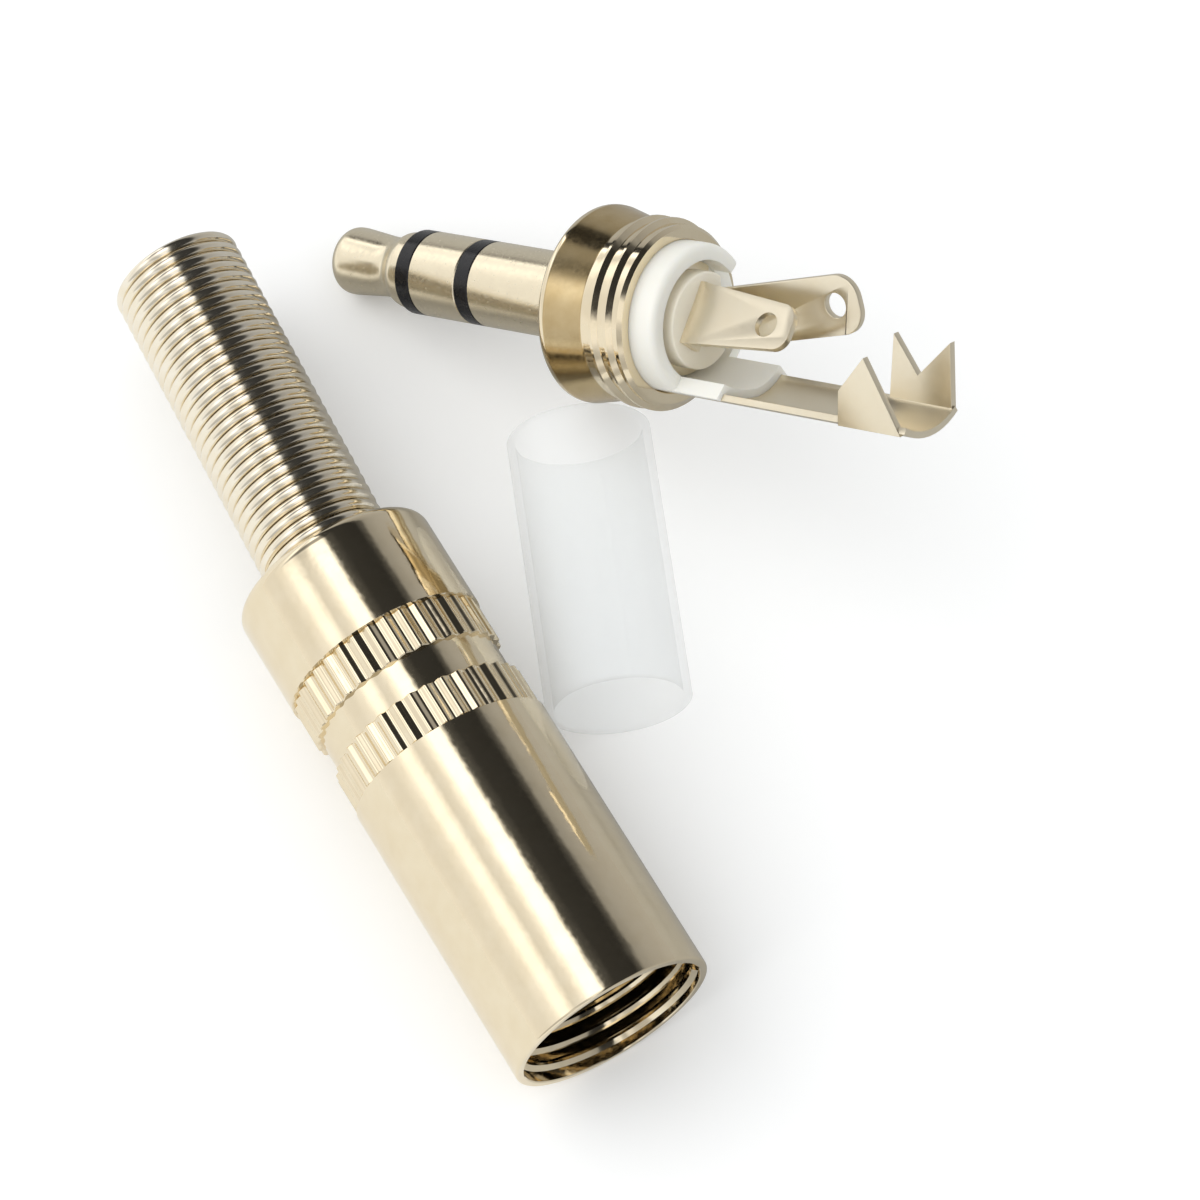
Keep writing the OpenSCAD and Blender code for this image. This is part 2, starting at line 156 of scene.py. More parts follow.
class CoreSizes(bpy.types.PropertyGroup):
    """Sizes along the axis of the contact core, from the front of its flange."""

    shank_len: size("Shank", "Length from the nose to the flange", 13.9)
    tip_len: size("Tip", "Length from the nose to the first black ring", 4.15)
    black_ring: size("Black ring", "Width of each black ring", 0.75)
    ring_len: size("Ring", "Length of the ring contact", 2.5)
    nose_r: size("Nose radius", "Largest radius of the nose", 1.4)
    nose_round: size("Nose rounding", "Rounding of the nose", 0.55)
    blend: size("Blend", "Length over which the nose runs into its taper, and the taper into the neck", 0.2)
    waist: size("Waist", "Distance from the nose to the neck", 2.45)
    neck_r: size("Neck radius", "Radius of the neck", 1.25)
    neck_len: size("Neck", "Length of the straight neck", 0.35)
    shoulder_r: size("Shoulder radius", "Radius of the tip's shoulder", 1.58)
    shoulder_len: size("Shoulder", "Length of the straight shoulder", 0.45)
    rod_r: size("Rod radius", "Radius of the rod that carries the tip", 0.5)
    layer: size("Layer", "Wall of each tube nested in the shank", 0.28)
    rivet: size("Rivet", "Height of a riveted end", 0.15)
    rivet_lip: size("Rivet lip", "Lip of a riveted end", 0.13)
    edge: size("Edge", "Rounding of turned edges", 0.04)
    flange_r: size("Flange radius", "Radius of the flange", 4.0)
    flange_len: size("Flange", "Thickness of the flange", 2.0)
    flange_round: size("Flange rounding", "Rounding of the flange's front edge", 0.22)
    rim: size("Rim", "Straight edge of the flange before it tapers to the thread", 0.12)
    thread_r: size("Thread radius", "Outside radius of the thread", 3.85)
    thread_h: size("Thread height", "Height of the thread", 0.22)
    thread_pitch: size("Thread pitch", "Rise of one turn of the thread", 0.75)
    thread_gap: size("Thread gap", "Gap between the flange and the start of the thread", 0.06)
    thread_turns: FloatProperty(name="Thread turns", description="Turns of thread on the collar", default=2)
    collar_len: size("Collar", "Length of the collar behind the flange", 2.0)
    chamfer: size("Chamfer", "Chamfer at the rear of the collar", 0.15)
    pocket_r: size("Pocket radius", "Radius of the pocket in the collar", 3.05)
    pocket: size("Pocket", "Depth of the pocket in the collar", 1.6)
    sheet: size("Sheet", "Thickness of the stamped sheet", 0.3)
    sheet_edge: size("Sheet edge", "Rounding of the stamped edges", 0.05)
    disc: size("Disc", "Thickness of the insulator disc", 1.45)
    wall: size("Wall", "Height of the horseshoe wall on the insulator disc", 1.05)
    wall_round: size("Wall rounding", "Rounding of the horseshoe wall's outer rim", 0.3)
    moulded_edge: size("Moulded edge", "Rounding of the insulator's other edges", 0.06)
    boss: size("Boss", "Height of the boss between the lugs", 0.85)
    boss_round: size("Boss rounding", "Rounding of the boss", 0.3)


class Finishes(bpy.types.PropertyGroup):
    """Colours of the materials, as sRGB hex values."""

    nickel: shade("Nickel", "Bright nickel plate", "F0E3C8")
    satin: shade("Satin", "Plate over the tool marks of the shank", "F8ECD0")
    wire: shade("Wire", "Plated spring wire", "F7F1E4")
    # Painted shade: the taper of the flange takes these two darker colours in place of the dark reflections
    # it shows
    nickel_dull: shade("Nickel, dull", "Thin patches of the plate", "E6D6B6")
    painted_shade: shade("Painted shade", "Plate worn thin on the flange", "D2BE96")
    painted_shade_dark: shade("Worn, dark", "Brass that shows through the worn plate", "B59C6C")
    sheet: shade("Sheet", "Plated sheet of the lugs and the clamp", "F2E9D3")
    black: shade("Black", "Insulating rings", "0D0C0F")
    white: shade("White", "Rear insulator", "F1EFE6")
    cream: shade("Cream", "Boss between the lugs", "F7EFDC")
    clear: shade("Clear", "Insulating tube", "F7F9F9")
    floor: shade("Floor", "Table", "FBFBFA")


# Frames of the three lots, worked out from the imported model

def axes_frame(origin, x_axis, z_axis):
    """Matrix whose Z axis is z_axis and whose X axis is x_axis made square to it."""
    z_axis = Vector(z_axis).normalized()
    x_axis = Vector(x_axis)
    x_axis = (x_axis - x_axis.dot(z_axis) * z_axis).normalized()
    turn = Matrix((x_axis, z_axis.cross(x_axis), z_axis)).transposed().to_4x4()
    return Matrix.Translation(origin) @ turn


def barrel_frame():
    """Mouth centre of the barrel, with Z along the barrel to its rear."""
    middle = (BARREL_LOW + BARREL_HIGH) / 2
    return axes_frame((middle.x, BARREL_LOW.y, middle.z), (1, 0, 0), (0, 1, 0))


def tube_frame():
    """Centre of the insulating tube, with Z along the tube."""
    return axes_frame((TUBE_LOW + TUBE_HIGH) / 2, (0, 0, 1), MOUNTS["tube_bore"]["axis"])


def core_frame():
    """Centre of the flange's front face, with Z to the rear and X to the ring lug."""
    core = bpy.context.scene.plug_core
    rear = -Vector(MOUNTS["plug_shank"]["axis"])
    origin = Vector(MOUNTS["collar_thread"]["pos_m"]) - rear * (core.flange_len + core.collar_len / 2)
    return axes_frame(origin, -Vector(MOUNTS["ring_lug_hole"]["axis"]), rear)


def core_stations():
    """Radii in the contact core, and stations along it from the front of the flange."""
    core = bpy.context.scene.plug_core
    at = SimpleNamespace()
    at.shank_r = MOUNTS["plug_shank"]["dims"]["r_mm"] * MM
    at.ring_in = core.rod_r + core.layer
    at.ring_out = at.ring_in + core.layer
    at.sleeve_in = at.ring_out + core.layer
    at.nose = -core.shank_len
    at.first_black = at.nose + core.tip_len
    at.ring = at.first_black + core.black_ring
    at.second_black = at.ring + core.ring_len
    at.sleeve = at.second_black + core.black_ring
    at.back = core.flange_len + core.collar_len
    at.pocket = at.back - core.pocket
    at.disc = at.pocket + core.sheet
    at.ring_rivet = at.disc + core.disc + core.sheet
    at.tip_rivet = at.ring_rivet + core.boss + core.sheet
    return at


# Modelling

def arc(center_r, center_z, radius, start, end, steps=8):
    """Points of a rounded corner in a turned profile, as radius and station; angles in degrees."""
    angles = [radians(start + (end - start) * i / steps) for i in range(steps + 1)]
    return [(center_r + radius * cos(angle), center_z + radius * sin(angle)) for angle in angles]


def select_only(piece):
    """Makes a piece the one that is selected and active."""
    bpy.ops.object.select_all(action="DESELECT")
    piece.select_set(True)
    bpy.context.view_layer.objects.active = piece


def select_verts(test):
    """Selects the vertices of the mesh in edit mode that pass the test."""
    mesh = bmesh.from_edit_mesh(bpy.context.object.data)
    for vert in mesh.verts:
        vert.select = test(vert.co)
    mesh.select_flush_mode()
    bmesh.update_edit_mesh(bpy.context.object.data)


def turned(name, profile, segments, closed=True):
    """Turns a profile by extruding a circle from station to station."""
    bpy.ops.object.select_all(action="DESELECT")
    radius, station = profile[0]
    bpy.ops.mesh.primitive_circle_add(vertices=segments, radius=radius, location=(0, 0, station))
    bpy.ops.object.transform_apply(location=True, rotation=False, scale=False)
    piece = bpy.context.object
    piece.name = name
    bpy.ops.object.mode_set(mode="EDIT")
    bpy.ops.mesh.select_all(action="SELECT")
    for next_radius, next_station in profile[1:]:
        step = (0, 0, next_station - station)
        bpy.ops.mesh.extrude_edges_move(TRANSFORM_OT_translate={"value": step})
        growth = next_radius / radius
        bpy.ops.transform.resize(value=(growth, growth, 1), center_override=(0, 0, 0))
        radius, station = next_radius, next_station
    bpy.ops.mesh.select_mode(type="EDGE")
    bpy.ops.mesh.select_all(action="DESELECT")
    bpy.ops.mesh.select_non_manifold(use_wire=False, use_multi_face=False, use_non_contiguous=False,
                                     use_verts=False)
    if closed:
        bpy.ops.mesh.bridge_edge_loops()
    else:
        bpy.ops.mesh.fill_holes(sides=0)
    bpy.ops.mesh.select_mode(type="VERT")
    bpy.ops.mesh.select_all(action="SELECT")
    bpy.ops.mesh.normals_make_consistent(inside=False)
    bpy.ops.object.mode_set(mode="OBJECT")
    return piece


def helix(name, outline, pitch, turns, steps):
    """Sweeps a closed outline, given as radius and station, along a right-hand helix."""
    bpy.ops.object.select_all(action="DESELECT")
    bpy.ops.mesh.primitive_circle_add(vertices=len(outline), radius=MM)
    piece = bpy.context.object
    piece.name = name
    for vert, (radius, station) in zip(piece.data.vertices, outline):
        vert.co = (radius, 0, station)
    screw = piece.modifiers.new("Helix", "SCREW")
    screw.angle = turns * 2 * pi
    screw.screw_offset = pitch * turns
    screw.steps = screw.render_steps = round(steps * turns)
    screw.use_merge_vertices = False
    bpy.ops.object.modifier_apply(modifier=screw.name)
    bpy.ops.object.mode_set(mode="EDIT")
    bpy.ops.mesh.select_all(action="SELECT")
    bpy.ops.mesh.fill_holes(sides=0)
    bpy.ops.mesh.select_all(action="SELECT")
    bpy.ops.mesh.normals_make_consistent(inside=False)
    bpy.ops.object.mode_set(mode="OBJECT")
    return piece


def threaded(name, root, side, crest, turns, start):
    """Thread that stands out of a surface: side is 1 on a collar and -1 in a mouth."""
    core = bpy.context.scene.plug_core
    foot_r = root - side * THREAD_SINK * core.thread_h
    crest_r = root + side * crest * core.thread_h
    foot = side * THREAD_FOOT * core.thread_h
    flat = side * THREAD_FLAT * core.thread_h
    outline = [(foot_r, -foot), (crest_r, -flat), (crest_r, flat), (foot_r, foot)]
    piece = helix(name, outline, core.thread_pitch, turns, THREAD_STEPS)
    select_only(piece)
    bpy.ops.transform.translate(value=(0, 0, start))
    bpy.ops.object.transform_apply(location=True)
    return piece


def joined(piece, *others):
    """Joins other pieces into one object."""
    select_only(piece)
    for other in others:
        other.select_set(True)
    bpy.ops.object.join()
    return piece


def softened(node, width, rim=None, rim_width=0.0):
    """Copies a node and rounds its edges, as tumbling or moulding does; rim picks edges rounded wider."""
    select_only(frame["nodes"][node])
    bpy.ops.object.duplicate()
    piece = bpy.context.object
    piece.parent = None
    piece.name = node + "_finished"
    # The copy is a piece of its own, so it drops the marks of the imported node
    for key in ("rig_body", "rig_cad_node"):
        if key in piece:
            del piece[key]
    bpy.ops.object.mode_set(mode="EDIT")
    bpy.ops.mesh.select_all(action="SELECT")
    bpy.ops.mesh.remove_doubles(threshold=MERGE_GAP)
    bpy.ops.mesh.dissolve_limited(angle_limit=FLAT_ANGLE)
    if rim:
        bpy.ops.mesh.select_all(action="DESELECT")
        select_verts(rim)
        bpy.ops.mesh.bevel(offset=rim_width, segments=RIM_STEPS, affect="EDGES")
    bpy.ops.object.mode_set(mode="OBJECT")
    bevel = piece.modifiers.new("Edges", "BEVEL")
    bevel.width = width
    bevel.segments = EDGE_STEPS
    bevel.limit_method = "ANGLE"
    bevel.angle_limit = SHARP_ANGLE
    bevel.use_clamp_overlap = True
    bpy.ops.object.modifier_apply(modifier=bevel.name)
    return piece


def finish(piece, node, material, place=None, smooth=30):
    """Sets a piece in its lot's frame, shades it and lets it stand for its node."""
    if not piece.data.polygons:
        raise RuntimeError(piece.name + " has no faces")
    select_only(piece)
    if place is not None:
        piece.matrix_world = place
        bpy.ops.object.transform_apply(location=True, rotation=True, scale=True)
    bpy.ops.object.shade_smooth_by_angle(angle=radians(smooth))
    piece.data.materials.clear()
    piece.data.materials.append(material)
    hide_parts(node)
    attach(piece, "root")


def refinish(piece, material, test):
    """Gives another finish to the faces whose corners pass the test."""
    select_only(piece)
    piece.data.materials.append(material)
    piece.active_material_index = len(piece.data.materials) - 1
    bpy.ops.object.mode_set(mode="EDIT")
    bpy.ops.mesh.select_all(action="DESELECT")
    select_verts(test)
    bpy.ops.object.material_slot_assign()
    bpy.ops.object.mode_set(mode="OBJECT")


# Materials

# Colour sockets of a Mix node, which share their names with its other sockets
MIX_A, MIX_B, MIX_RESULT = 6, 7, 2


def linear(code):
    """sRGB hex value as linear colour."""
    parts = [int(code[i:i + 2], 16) / 255 for i in (0, 2, 4)]
    return [p / 12.92 if p <= 0.04045 else ((p + 0.055) / 1.055) ** 2.4 for p in parts] + [1]


def add(tree, kind, sockets=None, **settings):
    """Adds a node; a socket in sockets is linked and any other value is set."""
    node = tree.nodes.new(kind)
    for key, value in settings.items():
        setattr(node, key, value)
    for key, value in (sockets or {}).items():
        if isinstance(value, bpy.types.NodeSocket):
            tree.links.new(value, node.inputs[key])
        else:
            node.inputs[key].default_value = value
    return node


def new_material(name):
    """Material with only its shader, and the piece's own coordinates."""
    material = bpy.data.materials.get(name) or bpy.data.materials.new(name)
    material.use_nodes = True
    tree = material.node_tree
    tree.nodes.clear()
    shader = add(tree, "ShaderNodeBsdfPrincipled")
    add(tree, "ShaderNodeOutputMaterial", {"Surface": shader.outputs["BSDF"]})
    place = add(tree, "ShaderNodeTexCoord").outputs["Object"]
    return material, tree, shader, place


def plated(name, light, dark, peel_mm, peel_height_mm, smooth, rough):
    """Metal plate: a slow waviness bends its reflections and fine specks vary its gloss."""
    material, tree, shader, place = new_material(name)
    waves = add(tree, "ShaderNodeTexNoise", {"Vector": place, "Scale": 1 / (peel_mm * MM), "Detail": 2})
    # Specks in a plate are finer than this, which is as coarse as they need to be to show
    speck_mm = 0.16
    specks = add(tree, "ShaderNodeTexNoise", {"Vector": place, "Scale": 1 / (speck_mm * MM), "Detail": 3})
    gloss = add(tree, "ShaderNodeMapRange", {
        "Value": specks.outputs["Fac"], "From Min": 0.35, "From Max": 0.7, "To Min": smooth, "To Max": rough})
    tint = add(tree, "ShaderNodeMix", {
        "Factor": waves.outputs["Fac"], MIX_A: linear(light), MIX_B: linear(dark)}, data_type="RGBA")
    bump = add(tree, "ShaderNodeBump", {
        "Height": waves.outputs["Fac"], "Strength": 1.0, "Distance": peel_height_mm * MM})
    tree.links.new(tint.outputs[MIX_RESULT], shader.inputs["Base Color"])
    tree.links.new(gloss.outputs["Result"], shader.inputs["Roughness"])
    tree.links.new(bump.outputs["Normal"], shader.inputs["Normal"])
    shader.inputs["Metallic"].default_value = 1
    return material


def moulded(name, code, rough, grain_mm, grain_height_mm, milky=0.0):
    """Moulded plastic: faint grain breaks up its gloss, and a milky one lets light a little way in."""
    material, tree, shader, place = new_material(name)
    grain = add(tree, "ShaderNodeTexNoise", {"Vector": place, "Scale": 1 / (grain_mm * MM), "Detail": 3})
    gloss = add(tree, "ShaderNodeMapRange", {
        "Value": grain.outputs["Fac"], "From Min": 0.3, "From Max": 0.7,
        "To Min": rough * 0.8, "To Max": rough * 1.2})
    bump = add(tree, "ShaderNodeBump", {
        "Height": grain.outputs["Fac"], "Strength": 1.0, "Distance": grain_height_mm * MM})
    shader.inputs["Base Color"].default_value = linear(code)
    tree.links.new(gloss.outputs["Result"], shader.inputs["Roughness"])
    tree.links.new(bump.outputs["Normal"], shader.inputs["Normal"])
    shader.inputs["IOR"].default_value = 1.49
    if milky:
        shader.inputs["Subsurface Weight"].default_value = milky
        shader.inputs["Subsurface Radius"].default_value = (1.0, 0.9, 0.7)
        shader.inputs["Subsurface Scale"].default_value = 0.4 * MM
    return material


def bright_nickel():
    """Bright nickel plate on a polished turned part: a warm mirror with a slight orange peel."""
    tones = bpy.context.scene.plug_finishes
    return plated("Nickel plate, bright", tones.nickel, tones.nickel_dull,
                  peel_mm=0.9, peel_height_mm=0.010, smooth=0.05, rough=0.12)


def painted_shade_nickel():
    """Nickel plate on the taper of the flange, made darker and warmer as painted shade: the colour stands in
    for the dark reflections the taper shows.
    """
    tones = bpy.context.scene.plug_finishes
    return plated("Nickel plate, worn thin", tones.painted_shade, tones.painted_shade_dark,
                  peel_mm=0.9, peel_height_mm=0.003, smooth=0.14, rough=0.22)


def spring_nickel():
    """Bright nickel plate on drawn wire: each turn shows a clean line of light."""
    tones = bpy.context.scene.plug_finishes
    return plated("Nickel plate on spring wire", tones.wire, tones.nickel,
                  peel_mm=0.6, peel_height_mm=0.0006, smooth=0.1, rough=0.16)


def satin_nickel():
    """Nickel plate over tool marks on the shank: the same metal with broad soft reflections."""
    tones = bpy.context.scene.plug_finishes
    return plated("Nickel plate, satin", tones.satin, tones.nickel,
                  peel_mm=0.5, peel_height_mm=0.0015, smooth=0.2, rough=0.28)


def sheet_nickel():
    """Plated stamped sheet: a rolled surface, duller than the turned parts."""
    tones = bpy.context.scene.plug_finishes
    return plated("Nickel plate on stamped sheet", tones.sheet, tones.nickel,
                  peel_mm=1.2, peel_height_mm=0.003, smooth=0.28, rough=0.36)


def black_plastic():
    """Black insulating rings, turned flush with the metal: dark bands with a little gloss."""
    return moulded("Black plastic, polished", bpy.context.scene.plug_finishes.black,
                   rough=0.28, grain_mm=0.2, grain_height_mm=0.001)


def white_plastic():
    """White moulded insulator: satin and slightly milky, so its shadows stay soft."""
    return moulded("White plastic, moulded", bpy.context.scene.plug_finishes.white,
                   rough=0.42, grain_mm=0.25, grain_height_mm=0.002, milky=0.25)


def cream_plastic():
    """Cream moulded boss: satin, and warmer than the insulator round it."""
    return moulded("Cream plastic, moulded", bpy.context.scene.plug_finishes.cream,
                   rough=0.38, grain_mm=0.25, grain_height_mm=0.002, milky=0.2)


def clear_plastic():
    """Extruded clear tube: a faint haze, with the table seen through it."""
    material, tree, shader, place = new_material("Clear plastic, extruded")
    haze_mm = 0.8
    haze = add(tree, "ShaderNodeTexNoise", {"Vector": place, "Scale": 1 / (haze_mm * MM), "Detail": 2})
    gloss = add(tree, "ShaderNodeMapRange", {"Value": haze.outputs["Fac"], "To Min": 0.12, "To Max": 0.3})
    shader.inputs["Base Color"].default_value = linear(bpy.context.scene.plug_finishes.clear)
    tree.links.new(gloss.outputs["Result"], shader.inputs["Roughness"])
    shader.inputs["IOR"].default_value = 1.3
    shader.inputs["Transmission Weight"].default_value = 0.1
    shader.inputs["Alpha"].default_value = 0.22
    return material


# Pieces

class PLUG_OT_barrel(bpy.types.Operator):
    """Turned barrel with coin-edge bands and a thread in its mouth"""

    bl_idname = "plug.barrel"
    bl_label = "Barrel"

    def execute(self, context):
        sizes = context.scene.plug_barrel
        edge = context.scene.plug_core.edge
        outer = (BARREL_HIGH.z - BARREL_LOW.z) / 2
        bands = (sizes.front, sizes.front + sizes.band + sizes.groove)
        profile = self.profile(sizes, edge, outer, bands)
        piece = turned("barrel_turned", profile, sizes.ridges * NOTCH_STEPS)
        self.sink_notches(sizes, edge, outer - sizes.band_step, bands)
        thread = threaded("barrel_thread", outer - sizes.nut_wall, -1, NUT_CREST, sizes.nut_turns,
                          sizes.nut_lead)
        joined(piece, thread)
        finish(piece, "barrel", bright_nickel(), barrel_frame())
        return {"FINISHED"}

    @staticmethod
    def profile(sizes, edge, outer, bands):
        """Outline from the thread's end round the mouth, along the outside and back through the bore."""
        bore = MOUNTS["barrel_bore"]["dims"]["r_mm"] * MM
        cable = MOUNTS["cable_hole"]["dims"]["r_mm"] * MM
        nut = outer - sizes.nut_wall
        ridge = outer - sizes.band_step
        groove = outer - sizes.groove_depth
        end = BARREL_HIGH.y - BARREL_LOW.y
        seat = end - sizes.seat_depth
        points = [(nut, sizes.nut_depth), (nut, edge), (nut + edge, 0)]
        points += arc(outer - sizes.lip, sizes.lip, sizes.lip, -90, 0)
        points += [(outer, sizes.front / 2), (outer, sizes.front - edge), (outer - edge, sizes.front)]
        for start in bands:
            stop = start + sizes.band
            points += [(groove, start), (ridge - edge, start), (ridge, start + edge),
                       (ridge, stop - edge), (ridge - edge, stop), (groove, stop)]
        points += [(outer - edge, stop), (outer, stop + edge)]
        points += arc(outer - sizes.round, end - sizes.round, sizes.round, 0, 90)
        points += [(sizes.seat_r + edge, end), (sizes.seat_r, end - edge), (sizes.seat_r, seat),
                   (cable, seat), (cable, seat - sizes.web), (bore, seat - sizes.web),
                   (bore, sizes.nut_depth)]
        return points

    @staticmethod
    def sink_notches(sizes, edge, ridge, bands):
        """Sinks the notches of both bands as a wave, one line of vertices in each notch at a time."""
        notch_turn = 2 * pi / sizes.ridges
        slack = 0.2 / NOTCH_STEPS

        def on_band(co):
            return hypot(co.x, co.y) >= ridge - 1.5 * edge and any(
                start - edge / 2 < co.z < start + sizes.band + edge / 2 for start in bands)

        bpy.ops.object.mode_set(mode="EDIT")
        for line in range(1, NOTCH_STEPS):
            share = line / NOTCH_STEPS
            depth = sizes.notch * (1 - cos(2 * pi * share)) / 2
            select_verts(lambda co: on_band(co) and abs(atan2(co.y, co.x) / notch_turn % 1 - share) < slack)
            shrink = (ridge - depth) / ridge
            bpy.ops.transform.resize(value=(shrink, shrink, 1), center_override=(0, 0, 0))
        bpy.ops.object.mode_set(mode="OBJECT")


class PLUG_OT_spring(bpy.types.Operator):
    """Close-wound strain relief spring in the rear of the barrel"""

    bl_idname = "plug.spring"
    bl_label = "Strain relief spring"

    def execute(self, context):
        sizes = context.scene.plug_barrel
        outline = arc(sizes.coil_r, 0, sizes.wire_r, 0, 360 - 360 / WIRE_SIDES, WIRE_SIDES - 1)
        piece = helix("strain_relief_spring_wound", outline, sizes.pitch, sizes.turns, WIRE_STEPS)
        seat = BARREL_HIGH.y - BARREL_LOW.y - sizes.seat_depth
        start = sizes.wire_r + sizes.coil_r * sin(sizes.lean)
        lean = Matrix.Translation((0, 0, seat + sizes.pivot)) @ Matrix.Rotation(sizes.lean, 4, "Y")
        place = barrel_frame() @ lean @ Matrix.Translation((0, 0, start - sizes.pivot))
        finish(piece, "strain_relief_spring", spring_nickel(), place)
        return {"FINISHED"}


class PLUG_OT_tube(bpy.types.Operator):
    """Clear insulating tube that slides over the lugs"""

    bl_idname = "plug.tube"
    bl_label = "Insulating tube"

    def execute(self, context):
        edge = context.scene.plug_core.edge
        inner = MOUNTS["tube_bore"]["dims"]["r_mm"] * MM
        half = MOUNTS["tube_bore"]["dims"]["length_mm"] * MM / 2
        outer = (TUBE_HIGH.z - TUBE_LOW.z) / 2
        profile = [(inner, -half + edge), (inner + edge, -half), (outer - edge, -half),
                   (outer, -half + edge), (outer, 0), (outer, half - edge),
                   (outer - edge, half), (inner + edge, half), (inner, half - edge)]
        piece = turned("insulating_tube_cut", profile, TUBE_SIDES)
        finish(piece, "insulating_tube", clear_plastic(), tube_frame())
        # So clear a tube dims the light under it too little to show
        piece.visible_shadow = False
        return {"FINISHED"}


class PLUG_OT_shank(bpy.types.Operator):
    """Turned contacts of the shank with the black rings between them, and the threaded collar"""

    bl_idname = "plug.shank"
    bl_label = "Shank"

    def execute(self, context):
        core = context.scene.plug_core
        at = core_stations()
        place = core_frame()
        metal = satin_nickel()
        black = black_plastic()
        tip = turned("tip_contact_turned", self.tip(core, at), SHANK_SIDES, closed=False)
        finish(tip, "tip_contact", metal, place)
        rings = (("ring_insulator", self.ring_insulator, "black_plastic", black),
                 ("ring_contact", self.ring_contact, "nickel_plated_brass", metal),
                 ("sleeve_insulator", self.sleeve_insulator, "black_plastic", black))
        for node, profile, slot, material in rings:
            piece = turned(node + "_turned", profile(core, at), SHANK_SIDES)
            finish(piece, node, material, place)
        self.sleeve(core, at, place, metal)
        return {"FINISHED"}

    @staticmethod
    def tip(core, at):
        """Outline of the nose, neck, shoulder, rod and riveted end."""
        points = arc(core.nose_r - core.nose_round, at.nose + core.nose_round, core.nose_round, -90, 0,
                     NOSE_STEPS)
        waist = at.nose + core.waist
        points += [(core.nose_r, at.nose + core.nose_round + core.blend),
                   (core.neck_r + (core.nose_r - core.neck_r) * NECK_BLEND, waist - core.blend),
                   (core.neck_r, waist)]
        flare = waist + core.neck_len
        flare_len = at.first_black - core.shoulder_len - flare
        flare_rise = core.shoulder_r - core.neck_r
        points += [(core.neck_r + flare_rise * (1 - cos(pi * i / FLARE_STEPS)) / 2,
                    flare + flare_len * i / FLARE_STEPS) for i in range(FLARE_STEPS + 1)]
        rivet_r = core.rod_r + core.rivet_lip
        points += [(core.shoulder_r, at.first_black), (core.rod_r, at.first_black),
                   (core.rod_r, at.tip_rivet), (rivet_r, at.tip_rivet),
                   (rivet_r - core.rivet_lip / 2, at.tip_rivet + core.rivet)]
        return points

    @staticmethod
    def band(core, at, start, end, inner):
        """Outline of one contact or black ring on the shank, with its edges broken."""
        return [(inner, start), (at.shank_r - core.edge, start), (at.shank_r, start + core.edge),
                (at.shank_r, (start + end) / 2), (at.shank_r, end - core.edge), (at.shank_r - core.edge, end)]

    def ring_insulator(self, core, at):
        """Outline of the first black ring and its tube round the rod."""
        end = at.ring_rivet + core.rivet
        points = self.band(core, at, at.first_black, at.ring, core.rod_r)
        return points + [(at.ring_in, at.ring), (at.ring_in, end), (core.rod_r, end)]

    def ring_contact(self, core, at):
        """Outline of the ring contact, its tube and its riveted end."""
        rivet_r = at.ring_out + core.rivet_lip
        end = at.ring_rivet + core.rivet
        points = self.band(core, at, at.ring, at.second_black, at.ring_in)
        return points + [(at.ring_out, at.second_black), (at.ring_out, at.ring_rivet),
                         (rivet_r, at.ring_rivet), (rivet_r, end), (at.ring_in, end)]

    def sleeve_insulator(self, core, at):
        """Outline of the second black ring and its tube in the sleeve."""
        points = self.band(core, at, at.second_black, at.sleeve, at.ring_out)
        return points + [(at.sleeve_in, at.sleeve), (at.sleeve_in, at.disc), (at.ring_out, at.disc)]

    @staticmethod
    def sleeve(core, at, place, metal):
        """Sleeve, tapered flange and collar with its thread: bright, with a satin shank and a taper darkened
        as painted shade.
        """
        root = core.thread_r - core.thread_h
        taper = core.flange_round + core.rim
        edge = core.edge
        points = [(at.sleeve_in, at.sleeve), (at.shank_r - edge, at.sleeve), (at.shank_r, at.sleeve + edge),
                  (at.shank_r, at.sleeve / 2), (at.shank_r, -edge), (at.shank_r + edge, 0)]
        points += arc(core.flange_r - core.flange_round, core.flange_round, core.flange_round, -90, 0,
                      FLANGE_STEPS)
        points += [(core.flange_r + (root - core.flange_r) * share, taper + (core.flange_len - taper) * share)
                   for share in TAPER_RINGS]
        points += [(root, core.flange_len + edge), (root, at.back - core.chamfer),
                   (root - core.chamfer, at.back), (core.pocket_r + edge, at.back),
                   (core.pocket_r, at.back - edge), (core.pocket_r, at.pocket), (at.sleeve_in, at.pocket)]
        piece = turned("sleeve_body_turned", points, COLLAR_SIDES)
        thread_start = core.flange_len + core.thread_h + core.thread_gap
        joined(piece, threaded("collar_thread", root, 1, COLLAR_CREST, core.thread_turns, thread_start))
        finish(piece, "sleeve_body", bright_nickel(), place)
        local = place.inverted()

        def on_shank(co):
            co = local @ co
            return co.z < edge / 2 and hypot(co.x, co.y) < at.shank_r + edge / 2

        def on_taper(co):
            return taper - edge / 2 < (local @ co).z < core.flange_len + edge / 2

        refinish(piece, metal, on_shank)
        # Painted shade: the taper gets a darker colour that stands in for the dark reflections it shows
        refinish(piece, painted_shade_nickel(), on_taper)


class PLUG_OT_stampings(bpy.types.Operator):
    """Stamped solder lugs and the toothed cable clamp"""

    bl_idname = "plug.stampings"
    bl_label = "Lugs and clamp"

    def execute(self, context):
        metal = sheet_nickel()
        width = context.scene.plug_core.sheet_edge
        for node in ("ground_clamp", "ring_lug", "tip_lug"):
            finish(softened(node, width), node, metal)
        return {"FINISHED"}


